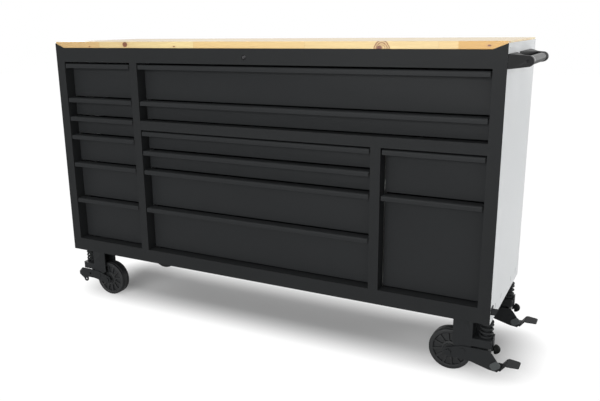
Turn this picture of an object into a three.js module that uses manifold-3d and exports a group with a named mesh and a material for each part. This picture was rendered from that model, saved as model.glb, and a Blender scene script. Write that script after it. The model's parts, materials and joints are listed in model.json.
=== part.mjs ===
// A long steel tool cart: fourteen drawers in four stacks under a wooden worktop, on four sprung casters.
// Millimetres, +Z up. The front faces -Y. The origin is on the floor, in the middle of the footprint.
// Inside the model x counts from the cabinet's left side, y from the front frame's face to the rear,
// and z from the cabinet's lower edge.
import * as THREE from 'three';
import { mergeVertices } from 'three/addons/utils/BufferGeometryUtils.js';
import Module from 'manifold-3d';

const wasm = await Module();
wasm.setup();

// Cabinet
const cabinetWidth = 1830;
const cabinetDepth = 525;
const rideHeight = 218;
const bodySheet = 1.5;
const seam = 0.3;
const overrun = 2;

// Front frame and its openings
const stileWidth = 42;
const sideColumnWidth = 347;
const dividerWidth = 36;
const bottomRailHeight = 54;
const lowerOpeningHeight = 507;
const midRailHeight = 36;
const upperOpeningHeight = 228;
const topRailHeight = 56.5;
const earRise = 18.5;
const collarDepth = 48;
const earRun = 47;

// Worktop and pans
const worktopThickness = 24.5;
const panRise = 20;
const panFlange = 18;
const deckFlange = 12;

// Side panels
const sideReturnWidth = 22;
const slotWidth = 6;
const slotHeight = 20;
const slotRise = 28;
const slotPlaceShares = [0.158, 0.347, 0.693, 0.88];

// Drawers
const upperPitch = 142;
const shallowPitch = 79;
const mediumPitch = 120;
const deepPitch = 159;
const upperTopGap = 7;
const lowerTopGap = 6;
const faceGap = 5;
const recessDepth = 42;
const pullDrop = 18;
const pullRadius = 6;
const drawerSheet = 1.2;
const trayRearGap = 26;
const trayTopGap = 20;
const bayHeadroom = 4;

// Slides and the racks that carry them
const slideWidth = 13;
const slideHeight = 32;
const slideSheet = 1.4;
const slideRise = 8;
const barWidth = 9;
const barEndGap = 6;
const postWidth = 26;
const postFrontGap = 4;
const postRearGap = 8;
const partitionSheet = 2;

// Lock
const lockDrop = 30.5;
const lockPlaceShare = 0.502;
const lockCollarDiameter = 19;
const lockBodyDiameter = 15.6;
const lockPlugDiameter = 11;
const lockCollarThickness = 1.6;
const lockBodyLength = 24;
const lockPlugProud = 0.6;
const lockCamThickness = 2;
const lockCamLength = 22;
const keywayWidth = 1.6;
const keywayHeight = 6;
const keywayDepth = 5;

// Push handle on the right side
const handleInset = 0;
const handleLength = 322;
const handleRootHeight = 45;
const handleRootDrop = 76;
const handleFrontRootWidth = 150;
const handleRearRootWidth = 240;
const handleRearRootFlare = 118;
const handleTipWidth = 22;
const handleTipRadius = 16.5;
const handleReach = 57;
const handleTipRise = 24;
const handleTubeDiameter = 25;
const handleGripDiameter = 28;
const handleCollarDiameter = 31;
const handleCollarLength = 14;
const handleTubeInset = 6;
const handleEndLength = 7;
const handleScrewDiameter = 7;
const handleScrewDepth = 2.5;

// Tab on the right side
const tabSheet = 2.5;
const tabInset = 5;
const tabDepth = 30;
const tabReach = 25;
const tabFootReach = 15;
const tabRise = 35;
const tabHeight = 24;

// Caster place and top plate
const casterInset = 94;
const casterFrontSetback = 80;
const casterRearSetback = 54;
const topPlateLength = 114;
const topPlateWidth = 100;
const topPlateThickness = 3.7;
const raceOuterRadius = 43;
const raceInnerRadius = 22;
const raceHeight = 12;
const kingpinRadius = 6;

// Caster wheel
const wheelDiameter = 152;
const wheelWidth = 50;
const wheelOffset = 46;
const wheelSegments = 20;
const tyreDepth = 18;
const tyreEdge = 3;
const wheelWeb = 8;
const hubRadius = 30;
const axleRadius = 6;
const axleHeadRadius = 10;
const axleHeadLength = 5;
const spokeCount = 12;
const spokeThickness = 7;
const spokeWidth = 34;

// Caster yoke
const yokeSheet = 4;
const yokeInnerWidth = 62;
const yokeInboardReach = 35;
const yokeOutboardReach = 32;
const yokeDrop = 6;
const yokeSkirtDrop = 107;
const yokeEarRadius = 12;
const yokeCornerRadius = 9;
const footReach = 95.5;
const footDrop = 79;
const footTongueWidth = 28;
const footTongueSheet = 2.5;
const footTongueLength = 16;
const footTongueRise = 10;
const cupRadius = 38;

// Caster swing arm, its rod and its spring
const pivotOffset = 2;
const pivotDrop = 130;
const pivotRadius = 7;
const pivotHeadRadius = 10;
const pivotHeadLength = 2;
const armSheet = 4;
const armSideGap = 0.5;
const armHubRadius = 17;
const armTopDrop = 112;
const rodOffset = 71;
const rodRadius = 5;
const rodClearance = 1.2;
const rodSlotLength = 18;
const crossBarDrop = 135;
const crossBarRadius = 8;
const washerThickness = 3.6;
const washerRadius = 24;
const nutRadius = 10;
const nutHeight = 8;
const springDiameter = 49;
const springWire = 8.4;
const springHeight = 55;
const springCurls = 3;
const springEndRise = 5;
const springStepsPerCurl = 8;
const springSides = 5;
const springLineRadius = (springDiameter - springWire) / 2;
const springLineInset = springLineRadius * Math.cos(Math.PI / springStepsPerCurl);
const sleeveSpringGap = 1.1;
const sleeveWall = 1.4;
const sleeveRadius = springLineInset - springWire / 2 - sleeveSpringGap;
const sleeveBoreRadius = sleeveRadius - sleeveWall;
const sleeveRise = 40;

// Braked arm with its pedal and knob
const brakedArmReach = 131;
const brakedArmTipDrop = 163;
const brakedArmToePlace = 122;
const brakedArmToeDrop = 183;
const brakedArmHeelPlace = 94;
const brakedArmHeelDrop = 180;
const brakedArmWaistPlace = 31;
const brakedArmWaistDrop = 163;
const brakedArmCrestPlace = 92;
const brakedArmShoulderPlace = 103;
const brakedArmShoulderDrop = 124;
const endPlatePlace = 85;
const endPlateHeight = 30;
const endPlateGap = 2;
const pedalPinPlace = 114;
const pedalPinDrop = 160;
const pedalPinRadius = 4;
const pedalBossRadius = 15;
const pedalBossThickness = 2.5;
const pedalPinHead = 1.5;
const pedalEarRadius = 11;
const pedalEarSheet = 4;
const pedalEarGap = 0.3;
const pedalSheet = 3.5;
const pedalFarReach = 20;
const pedalPadFarReach = 24;
const pedalPadNearReach = 26;
const pedalPadCorner = 8;
const pedalHeelPlace = 104;
const pedalToeReach = 130;
const pedalToeDrop = 178;
const pedalNeckReach = 146;
const pedalNeckDrop = 157;
const pedalPadReach = 188;
const pedalPadDrop = 162;
const knobRadius = 17;
const knobLength = 23;
const knobStemRadius = 8;
const knobStemLength = 3;
const knobDrop = 119;

// Plain arm
const plainArmReach = 121;
const plainArmTipTopDrop = 127;
const plainArmTipBottomDrop = 141;
const plainArmShoulderPlace = 103;
const plainArmKneePlace = 60;
const plainArmTopDrop = 108;
const plainArmDrop = 148;
const hookPlace = 83;
const hookDrop = 159;
const hookRadius = 12;
const hookHoleRadius = 4.5;
const lighteningHolePlace = 55;
const lighteningHoleDrop = 129;
const lighteningHoleRadius = 5;

// Finishes
const blackPaint = () => new THREE.MeshStandardMaterial({ color: 0x232324, roughness: 0.42, metalness: 0 });
const greyPaint = () => new THREE.MeshStandardMaterial({ color: 0xc4c6c9, roughness: 0.45, metalness: 0 });
const zincPlate = () => new THREE.MeshStandardMaterial({ color: 0xa9adab, roughness: 0.35, metalness: 0.9 });
const chromePlate = () => new THREE.MeshStandardMaterial({ color: 0xdcdcdc, roughness: 0.12, metalness: 1 });
const satinTube = () => new THREE.MeshStandardMaterial({ color: 0x8f9192, roughness: 0.35, metalness: 0.9 });
const beechBlock = () => new THREE.MeshStandardMaterial({ color: 0xe3bd80, roughness: 0.5, metalness: 0 });
const blackRubber = () => new THREE.MeshStandardMaterial({ color: 0x1e1f20, roughness: 0.7, metalness: 0 });
const blackPlastic = () => new THREE.MeshStandardMaterial({ color: 0x171817, roughness: 0.4, metalness: 0 });

// Levels and places that follow from the sizes
const openingLeft = stileWidth;
const leftColumnRight = openingLeft + sideColumnWidth;
const middleLeft = leftColumnRight + dividerWidth;
const rightColumnRight = cabinetWidth - stileWidth;
const rightColumnLeft = rightColumnRight - sideColumnWidth;
const middleRight = rightColumnLeft - dividerWidth;
const openingBottom = bottomRailHeight;
const lowerOpeningTop = openingBottom + lowerOpeningHeight;
const upperOpeningBottom = lowerOpeningTop + midRailHeight;
const upperOpeningTop = upperOpeningBottom + upperOpeningHeight;
const frontFrameHeight = upperOpeningTop + topRailHeight;
const sidePanelHeight = frontFrameHeight + earRise;
const lockRise = frontFrameHeight - lockDrop;
const handleRootRise = sidePanelHeight - handleRootDrop;
const behindFrame = bodySheet + seam;
const insideLeft = bodySheet + seam;
const insideRight = cabinetWidth - insideLeft;
const insideRear = cabinetDepth - bodySheet - seam;
const flangeFront = insideRear - bodySheet - seam;
const panTop = panRise + bodySheet;
const worktopBottom = frontFrameHeight + seam;
const deckBottom = frontFrameHeight - bodySheet;
const bayBottom = panTop + seam;
const bayTop = frontFrameHeight - deckFlange - seam;
const bayFront = collarDepth + postFrontGap;
const bayRear = flangeFront - postRearGap;
const leftPartitionLeft = leftColumnRight + (dividerWidth - partitionSheet) / 2;
const rightPartitionLeft = middleRight + (dividerWidth - partitionSheet) / 2;
const wheelRadius = wheelDiameter / 2;
const axleDrop = rideHeight - wheelRadius * Math.cos(Math.PI / wheelSegments);
const armInner = yokeInnerWidth / 2 + yokeSheet + armSideGap;
const armOuter = armInner + armSheet;
const pedalNearReach = armInner - pedalEarGap;
const pedalEarFace = -pedalNearReach + pedalEarSheet;

// Turns a closed three.js geometry into a solid that can be cut and joined.
function toSolid(geometry) {
  geometry.deleteAttribute('normal');
  geometry.deleteAttribute('uv');
  const merged = mergeVertices(geometry);
  return new wasm.Manifold(new wasm.Mesh({
    numProp: 3,
    vertProperties: merged.attributes.position.array,
    triVerts: new Uint32Array(merged.index.array),
  }));
}

function toGeometry(solid) {
  const mesh = solid.getMesh();
  const geometry = new THREE.BufferGeometry();
  geometry.setAttribute('position', new THREE.BufferAttribute(mesh.vertProperties, mesh.numProp));
  geometry.setIndex(new THREE.BufferAttribute(mesh.triVerts, 1));
  geometry.computeVertexNormals();
  return geometry;
}

function joined(solids) {
  return solids.reduce((whole, solid) => whole.add(solid));
}

function cut(solid, tools) {
  return tools.reduce((rest, tool) => rest.subtract(tool), solid);
}

// A box between two corners.
function block(x0, x1, y0, y1, z0, z1) {
  const geometry = new THREE.BoxGeometry(x1 - x0, y1 - y0, z1 - z0);
  geometry.translate((x0 + x1) / 2, (y0 + y1) / 2, (z0 + z1) / 2);
  return toSolid(geometry);
}

// A shape from a list of [x, y] points.
function shapeOf(points) {
  return new THREE.Shape(points.map(([a, b]) => new THREE.Vector2(a, b)));
}

function extruded(shape, depth, curveSegments) {
  return new THREE.ExtrudeGeometry(shape, { depth, bevelEnabled: false, curveSegments });
}

// An outline in x and z, extruded along y.
function prismY(shape, y0, y1, curveSegments = 6) {
  const geometry = extruded(shape, y1 - y0, curveSegments);
  geometry.rotateX(Math.PI / 2);
  geometry.translate(0, y1, 0);
  return toSolid(geometry);
}

// An outline in y and z, extruded along x.
function prismX(shape, x0, x1, curveSegments = 6) {
  const geometry = extruded(shape, x1 - x0, curveSegments);
  geometry.rotateX(Math.PI / 2);
  geometry.rotateZ(Math.PI / 2);
  geometry.translate(x0, 0, 0);
  return toSolid(geometry);
}

// An outline in x and y, extruded along z.
function prismZ(shape, z0, z1, curveSegments = 6) {
  const geometry = extruded(shape, z1 - z0, curveSegments);
  geometry.translate(0, 0, z0);
  return toSolid(geometry);
}

// A round bar along y between y0 and y1, centred on x and z.
function barY(radius, x, z, y0, y1, segments = 12) {
  const geometry = new THREE.CylinderGeometry(radius, radius, y1 - y0, segments);
  geometry.translate(x, (y0 + y1) / 2, z);
  return toSolid(geometry);
}

// A round bar along z between z0 and z1, centred on x and y.
function barZ(radius, x, y, z0, z1, segments = 12) {
  const geometry = new THREE.CylinderGeometry(radius, radius, z1 - z0, segments);
  geometry.rotateX(Math.PI / 2);
  geometry.translate(x, y, (z0 + z1) / 2);
  return toSolid(geometry);
}

// A sheet pan: a flat sheet whose four edges are folded down.
function foldedPan(x0, x1, y0, y1, sheetBottom, flange) {
  const sheetTop = sheetBottom + bodySheet;
  const rim = block(x0, x1, y0, y1, sheetTop - flange, sheetTop);
  const hollow = block(
    x0 + bodySheet, x1 - bodySheet,
    y0 + bodySheet, y1 - bodySheet,
    sheetTop - flange - overrun, sheetBottom,
  );
  return rim.subtract(hollow);
}

// Front frame: one plate with raised corners, and a collar behind the edge of each opening.
const frameOpenings = [
  [openingLeft, leftColumnRight, openingBottom, upperOpeningTop],
  [middleLeft, middleRight, openingBottom, lowerOpeningTop],
  [rightColumnLeft, rightColumnRight, openingBottom, lowerOpeningTop],
  [middleLeft, rightColumnRight, upperOpeningBottom, upperOpeningTop],
];

function wholeFrame() {
  const outline = [
    [0, 0], [cabinetWidth, 0], [cabinetWidth, sidePanelHeight],
    [cabinetWidth - earRun, frontFrameHeight], [earRun, frontFrameHeight], [0, sidePanelHeight],
  ];
  const plate = prismY(shapeOf(outline), 0, bodySheet);
  const collars = frameOpenings.map(([x0, x1, z0, z1]) => block(
    x0 - bodySheet, x1 + bodySheet, bodySheet / 2, collarDepth, z0 - bodySheet, z1 + bodySheet,
  ));
  const windows = frameOpenings.map(([x0, x1, z0, z1]) => block(
    x0, x1, -overrun, collarDepth + overrun, z0, z1,
  ));
  const lockHole = barY(
    lockBodyDiameter / 2 + seam, cabinetWidth * lockPlaceShare, lockRise,
    -overrun, bodySheet + overrun, 16,
  );
  return cut(joined([plate, ...collars]), [...windows, lockHole]);
}

// The rail above the lower drawers is a channel of its own, set in between the left divider and the stile.
function frontFrame() {
  return wholeFrame().subtract(block(
    middleLeft, rightColumnRight,
    -overrun, collarDepth + overrun,
    lowerOpeningTop - seam, upperOpeningBottom + seam,
  ));
}

function midRail() {
  return wholeFrame().intersect(block(
    middleLeft + seam, rightColumnRight - seam,
    -overrun, collarDepth + overrun,
    lowerOpeningTop, upperOpeningBottom,
  ));
}

// Side panel at the left; the right one is its mirror image.
function sidePanel(mirrored) {
  const place = (x) => (mirrored ? cabinetWidth - x : x);
  const span = (x0, x1) => [Math.min(place(x0), place(x1)), Math.max(place(x0), place(x1))];
  const sheet = block(...span(0, bodySheet), behindFrame, cabinetDepth, 0, sidePanelHeight);
  const footReturn = block(...span(0, sideReturnWidth), behindFrame, cabinetDepth, 0, bodySheet);
  const slots = slotPlaceShares.map((share) => {
    const middle = cabinetDepth * share;
    return block(
      ...span(-overrun, bodySheet + overrun),
      middle - slotWidth / 2, middle + slotWidth / 2,
      slotRise, slotRise + slotHeight,
    );
  });
  return cut(joined([sheet, footReturn]), slots);
}

function backPanel() {
  return block(
    insideLeft, insideRight, cabinetDepth - bodySheet, cabinetDepth,
    bodySheet + seam, frontFrameHeight,
  );
}

function bottomPan() {
  return foldedPan(insideLeft, insideRight, behindFrame, insideRear, panRise, panFlange);
}

function topDeck() {
  return foldedPan(insideLeft, insideRight, behindFrame, insideRear, deckBottom, deckFlange);
}

function worktop() {
  return block(
    insideLeft, insideRight, behindFrame, cabinetDepth,
    worktopBottom, worktopBottom + worktopThickness,
  );
}

// Drawer stacks. Each bay is one drawer's space: its sides, the top of its pull and its lower limit.
// The pitches count down from the top, and the last drawer takes what is left above the floor.
function stackOfBays(left, right, floor, top, pitches) {
  const bays = [];
  let level = top;
  pitches.forEach((pitch) => {
    bays.push({ left, right, top: level, bottom: level - pitch });
    level -= pitch;
  });
  bays.push({ left, right, top: level, bottom: floor });
  return bays;
}

const upperPullTop = upperOpeningTop - upperTopGap;
const lowerPullTop = lowerOpeningTop - lowerTopGap;
const leftBays = stackOfBays(openingLeft, leftColumnRight, openingBottom, upperPullTop,
  [upperPitch, shallowPitch, shallowPitch, mediumPitch, deepPitch]);
const wideBays = stackOfBays(middleLeft, rightColumnRight, upperOpeningBottom, upperPullTop,
  [upperPitch]);
const middleBays = stackOfBays(middleLeft, middleRight, openingBottom, lowerPullTop,
  [shallowPitch, shallowPitch, deepPitch]);
const rightBays = stackOfBays(rightColumnLeft, rightColumnRight, openingBottom, lowerPullTop,
  [2 * shallowPitch]);

function slideBottom(bay) {
  return bay.bottom + faceGap + slideRise;
}

// Drawer: a bent front with its pull, an open tray, and a slide bar on each side of the tray.
function drawer(bay) {
  const lower = bay.bottom + faceGap;
  const faceLeft = bay.left + faceGap;
  const faceRight = bay.right - faceGap;
  const trayLeft = bay.left + slideWidth;
  const trayRight = bay.right - slideWidth;
  const trayRear = insideRear - trayRearGap;
  const trayTop = bay.top - trayTopGap;
  const sheet = drawerSheet;

  const profile = new THREE.Shape();
  profile.moveTo(recessDepth, lower);
  profile.lineTo(recessDepth + sheet, lower);
  profile.lineTo(recessDepth + sheet, bay.top);
  profile.lineTo(pullRadius, bay.top);
  profile.absarc(pullRadius, bay.top - pullRadius, pullRadius, Math.PI / 2, Math.PI, false);
  profile.lineTo(0, bay.top - pullDrop);
  profile.lineTo(sheet, bay.top - pullDrop);
  profile.lineTo(sheet, bay.top - pullRadius);
  profile.absarc(pullRadius, bay.top - pullRadius, pullRadius - sheet, Math.PI, Math.PI / 2, true);
  profile.lineTo(recessDepth, bay.top - sheet);
  const front = prismX(profile, faceLeft, faceRight, 4);

  const trayFront = recessDepth + sheet / 2;
  const outside = block(trayLeft, trayRight, trayFront, trayRear, lower, trayTop);
  const inside = block(
    trayLeft + sheet, trayRight - sheet,
    recessDepth + sheet, trayRear - sheet,
    lower + sheet, trayTop + overrun,
  );
  const barBottom = slideBottom(bay) + slideSheet + seam;
  const barTop = slideBottom(bay) + slideHeight - slideSheet - seam;
  const barFront = bayFront;
  const barRear = trayRear - barEndGap;
  const leftBar = block(
    trayLeft - barWidth, trayLeft + sheet / 2, barFront, barRear, barBottom, barTop,
  );
  const rightBar = block(
    trayRight - sheet / 2, trayRight + barWidth, barFront, barRear, barBottom, barTop,
  );
  return joined([front, outside.subtract(inside), leftBar, rightBar]);
}

// A channel rail that a drawer's slide bar runs in. It opens towards the drawer.
function slideRail(wallX, facing, bay) {
  const z0 = slideBottom(bay);
  const z1 = z0 + slideHeight;
  const mouth = wallX + facing * (slideWidth - seam);
  const back = wallX - facing * bodySheet / 2;
  const web = wallX + facing * slideSheet;
  const body = block(Math.min(back, mouth), Math.max(back, mouth), bayFront, bayRear, z0, z1);
  const channelEnd = mouth + facing * overrun;
  const channel = block(
    Math.min(web, channelEnd), Math.max(web, channelEnd),
    bayFront - overrun, bayRear + overrun,
    z0 + slideSheet, z1 - slideSheet,
  );
  return body.subtract(channel);
}

// A post folded to a channel, between a wall and the plane that the slide rails stand on.
function post(wallX, railX, y0, z0, z1) {
  const x0 = Math.min(wallX, railX);
  const x1 = Math.max(wallX, railX);
  const body = block(x0, x1, y0, y0 + postWidth, z0, z1);
  const hollow = block(
    x0 + bodySheet, x1 - bodySheet, y0 + bodySheet, y0 + postWidth + overrun,
    z0 - overrun, z1 + overrun,
  );
  return body.subtract(hollow);
}

// Slide rack: two posts against a wall, and a rail on them for each bay.
function slideRack(wallX, railX, z0, z1, bays) {
  const facing = Math.sign(railX - wallX);
  const posts = [bayFront, bayRear - postWidth].map((y0) => post(wallX, railX, y0, z0, z1));
  const rails = bays.map((bay) => slideRail(railX, facing, bay));
  return joined([...posts, ...rails]);
}

// Partition sheet between two stacks of drawers.
function partition(x0, top) {
  return block(x0, x0 + partitionSheet, collarDepth + seam, flangeFront, bayBottom, top);
}

// Lock in the top rail
const lockX = cabinetWidth * lockPlaceShare;
const lockFace = -seam - lockCollarThickness;

function lockBarrel() {
  const collar = barY(lockCollarDiameter / 2, lockX, lockRise, lockFace, -seam, 16);
  const body = barY(
    lockBodyDiameter / 2, lockX, lockRise, -seam - lockCollarThickness / 2, lockBodyLength, 16,
  );
  const bore = barY(
    lockPlugDiameter / 2 + seam, lockX, lockRise, lockFace - overrun, lockBodyLength + overrun, 16,
  );
  return joined([collar, body]).subtract(bore);
}

function lockPlug() {
  const camFront = lockBodyLength + seam;
  const core = barY(
    lockPlugDiameter / 2, lockX, lockRise, lockFace - lockPlugProud, camFront + lockCamThickness, 16,
  );
  const cam = block(
    lockX - lockPlugDiameter / 2, lockX + lockPlugDiameter / 2,
    camFront, camFront + lockCamThickness, lockRise - lockCamLength, lockRise,
  );
  const keyway = block(
    lockX - keywayWidth / 2, lockX + keywayWidth / 2,
    lockFace - lockPlugProud - overrun, lockFace + keywayDepth,
    lockRise - keywayHeight / 2, lockRise + keywayHeight / 2,
  );
  return joined([core, cam]).subtract(keyway);
}

// Push handle: two tapered arms on the right side, and a round bar between their tips.
const handleFront = handleInset;
const handleRear = handleInset + handleLength;
const handleTipX = cabinetWidth + handleReach;
const handleTipZ = handleRootRise + handleTipRise;
const handleRootX = cabinetWidth + seam;

function handleArm(front) {
  const rootTop = handleRootRise + handleRootHeight;
  const side = new THREE.Shape();
  side.moveTo(handleRootX, handleRootRise);
  side.lineTo(handleTipX, handleTipZ - handleTipRadius);
  side.absarc(handleTipX, handleTipZ, handleTipRadius, -Math.PI / 2, Math.PI / 2, false);
  side.lineTo(handleRootX, rootTop);
  const tipFront = front ? handleFront : handleRear - handleTipWidth;
  const tipRear = tipFront + handleTipWidth;
  const rootRear = front ? handleFront + handleFrontRootWidth : handleRear + handleRearRootFlare;
  const rootFront = front ? handleFront : rootRear - handleRearRootWidth;
  const tipStart = handleTipX - handleTipRadius;
  const tipEnd = handleTipX + handleTipRadius + overrun;
  const plan = [
    [handleRootX, rootFront], [tipStart, tipFront], [tipEnd, tipFront],
    [tipEnd, tipRear], [tipStart, tipRear], [handleRootX, rootRear],
  ];
  const slab = prismY(side, rootFront, rootRear, 8);
  const taper = prismZ(shapeOf(plan), handleRootRise - overrun, rootTop + overrun);
  return slab.intersect(taper);
}

function handleBore(y0, y1) {
  return barY(handleTubeDiameter / 2 + seam, handleTipX, handleTipZ, y0, y1, 16);
}

function handleFrontArm() {
  const screw = barY(
    handleScrewDiameter / 2, handleTipX, handleTipZ, handleFront - overrun, handleFront + handleScrewDepth,
  );
  const bore = handleBore(handleFront + handleTubeInset - seam, handleRear);
  return cut(handleArm(true), [bore, screw]);
}

function handleRearArm() {
  return cut(handleArm(false), [handleBore(handleFront, handleRear + overrun)]);
}

function handleTube() {
  const tubeEnd = handleRear + handleEndLength;
  const tubeStart = handleFront + handleTubeInset;
  const tube = barY(handleTubeDiameter / 2, handleTipX, handleTipZ, tubeStart, tubeEnd, 16);
  const gripFront = handleFront + handleTipWidth + seam;
  const gripRear = handleRear - handleTipWidth - seam;
  const grip = barY(handleGripDiameter / 2, handleTipX, handleTipZ, gripFront, gripRear, 16);
  const collars = [gripFront, gripRear - handleCollarLength].map((y0) => barY(
    handleCollarDiameter / 2, handleTipX, handleTipZ, y0, y0 + handleCollarLength, 16,
  ));
  return joined([tube, grip, ...collars]);
}

// Tab near the right side's lower front corner: a leaf on the panel and a tapered plate out from it.
function sideTab() {
  const x0 = cabinetWidth + seam;
  const leaf = block(x0, x0 + tabSheet, tabInset, tabInset + tabDepth, tabRise, tabRise + tabHeight);
  const face = prismY(shapeOf([
    [x0, tabRise], [cabinetWidth + tabFootReach, tabRise],
    [cabinetWidth + tabReach, tabRise + tabHeight], [x0, tabRise + tabHeight],
  ]), tabInset, tabInset + tabSheet);
  return joined([leaf, face]);
}

// Casters. Each is built about its swivel axis, with x outboard, and z from the cabinet's lower edge.
const plateTop = panRise - seam;
const plateBottom = plateTop - topPlateThickness;
const raceBottom = plateBottom - raceHeight;
const cupTop = raceBottom - seam;
const tongueFace = footReach + seam + footTongueSheet;

function topPlate() {
  const plate = block(
    -topPlateLength / 2, topPlateLength / 2, -topPlateWidth / 2, topPlateWidth / 2,
    plateBottom, plateTop,
  );
  const race = barZ(raceOuterRadius, 0, 0, raceBottom, plateBottom + topPlateThickness / 2, 16);
  const well = barZ(raceInnerRadius, 0, 0, raceBottom - overrun, plateBottom, 16);
  const bore = barZ(kingpinRadius + seam, 0, 0, raceBottom - overrun, plateTop + overrun);
  return cut(joined([plate, race]), [well, bore]);
}

// The plan of a folded channel that is closed at its outboard end, with rounded corners.
function channelPlan(inboard, outboard, halfWidth, sheet, corner) {
  const inner = halfWidth - sheet;
  const shape = new THREE.Shape();
  shape.moveTo(inboard, -halfWidth);
  shape.lineTo(outboard - corner, -halfWidth);
  shape.absarc(outboard - corner, -halfWidth + corner, corner, -Math.PI / 2, 0, false);
  shape.lineTo(outboard, halfWidth - corner);
  shape.absarc(outboard - corner, halfWidth - corner, corner, 0, Math.PI / 2, false);
  shape.lineTo(inboard, halfWidth);
  shape.lineTo(inboard, inner);
  shape.lineTo(outboard - corner, inner);
  shape.absarc(outboard - corner, inner - (corner - sheet), corner - sheet, Math.PI / 2, 0, true);
  shape.lineTo(outboard - sheet, -inner + (corner - sheet));
  shape.absarc(outboard - corner, -inner + (corner - sheet), corner - sheet, 0, -Math.PI / 2, true);
  shape.lineTo(inboard, -inner);
  return shape;
}

function yoke(withTongue) {
  const halfWidth = yokeInnerWidth / 2 + yokeSheet;
  const crownTop = -yokeDrop;
  const legSide = new THREE.Shape();
  legSide.moveTo(-yokeInboardReach, crownTop);
  legSide.lineTo(-yokeInboardReach, -yokeSkirtDrop);
  legSide.lineTo(pivotOffset - yokeEarRadius, -pivotDrop);
  legSide.absarc(pivotOffset, -pivotDrop, yokeEarRadius, Math.PI, 2 * Math.PI, false);
  legSide.lineTo(yokeOutboardReach, -yokeSkirtDrop);
  legSide.lineTo(yokeOutboardReach, crownTop);
  const legs = [-halfWidth, halfWidth - yokeSheet].map((y0) => prismY(legSide, y0, y0 + yokeSheet));
  const crown = block(
    -yokeInboardReach, yokeOutboardReach, -halfWidth + yokeSheet / 2, halfWidth - yokeSheet / 2,
    crownTop - yokeSheet, crownTop,
  );
  const footPlan = channelPlan(
    yokeOutboardReach - yokeCornerRadius, footReach, halfWidth, yokeSheet, yokeCornerRadius,
  );
  const foot = prismZ(footPlan, -yokeSkirtDrop, -footDrop, 2);
  const webBottom = -footDrop - yokeSheet;
  const webPlan = block(
    yokeOutboardReach - yokeSheet, footReach - yokeSheet / 2,
    -halfWidth + yokeSheet / 2, halfWidth - yokeSheet / 2,
    webBottom, -footDrop,
  );
  const backWeb = block(
    yokeOutboardReach - yokeSheet, yokeOutboardReach,
    -halfWidth + yokeSheet / 2, halfWidth - yokeSheet / 2,
    webBottom, crownTop,
  );
  const rodSlot = block(
    rodOffset - rodRadius - rodClearance, rodOffset - rodRadius - rodClearance + rodSlotLength,
    -rodRadius - rodClearance, rodRadius + rodClearance,
    webBottom - overrun, -footDrop + overrun,
  );
  const cup = barZ(cupRadius, 0, 0, crownTop - yokeSheet / 2, cupTop, 16);
  const kingpin = barZ(kingpinRadius, 0, 0, crownTop - yokeSheet / 2, plateTop);
  const sleeve = barZ(
    sleeveRadius, rodOffset, 0, -footDrop - yokeSheet / 2, -footDrop + sleeveRise, 16,
  ).subtract(barZ(sleeveBoreRadius, rodOffset, 0, -footDrop, -footDrop + sleeveRise + overrun, 16));
  const pieces = [...legs, crown, foot, webPlan, backWeb, sleeve, cup, kingpin];
  if (withTongue) {
    pieces.push(block(
      footReach - yokeSheet / 2, tongueFace, -footTongueWidth / 2, footTongueWidth / 2,
      -yokeSkirtDrop - footTongueLength, webBottom,
    ));
    pieces.push(block(
      footReach + seam, tongueFace, -footTongueWidth / 2, footTongueWidth / 2,
      webBottom - overrun, -footDrop + footTongueRise,
    ));
  }
  const pivotBore = barY(
    pivotRadius + seam, pivotOffset, -pivotDrop, -halfWidth - overrun, halfWidth + overrun,
  );
  return cut(joined(pieces), [rodSlot, pivotBore]);
}

// Wheel: a tyre with bevelled edges round a thin web, with spokes and a hub.
function wheel() {
  const half = wheelWidth / 2;
  const webHalf = wheelWeb / 2;
  const bore = axleRadius + seam;
  const rimRadius = wheelRadius - tyreDepth;
  const profile = [
    [bore, -half], [hubRadius, -half], [hubRadius, -webHalf],
    [rimRadius, -webHalf], [rimRadius, -half], [wheelRadius - tyreEdge, -half],
    [wheelRadius, -half + tyreEdge], [wheelRadius, half - tyreEdge],
    [wheelRadius - tyreEdge, half], [rimRadius, half], [rimRadius, webHalf],
    [hubRadius, webHalf], [hubRadius, half], [bore, half], [bore, -half],
  ];
  const body = new THREE.LatheGeometry(
    profile.map(([r, w]) => new THREE.Vector2(r, w)), wheelSegments, Math.PI / wheelSegments,
  );
  const spokeStart = (hubRadius + bore) / 2;
  const spokeEnd = rimRadius + tyreEdge / 2;
  const spokes = [];
  for (let i = 0; i < spokeCount; i += 1) {
    const spoke = new THREE.BoxGeometry(spokeThickness, spokeWidth, spokeEnd - spokeStart);
    spoke.translate(0, 0, (spokeEnd + spokeStart) / 2);
    spoke.rotateY((i * 2 * Math.PI) / spokeCount);
    spokes.push(toSolid(spoke));
  }
  return joined([toSolid(body), ...spokes]);
}

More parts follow.
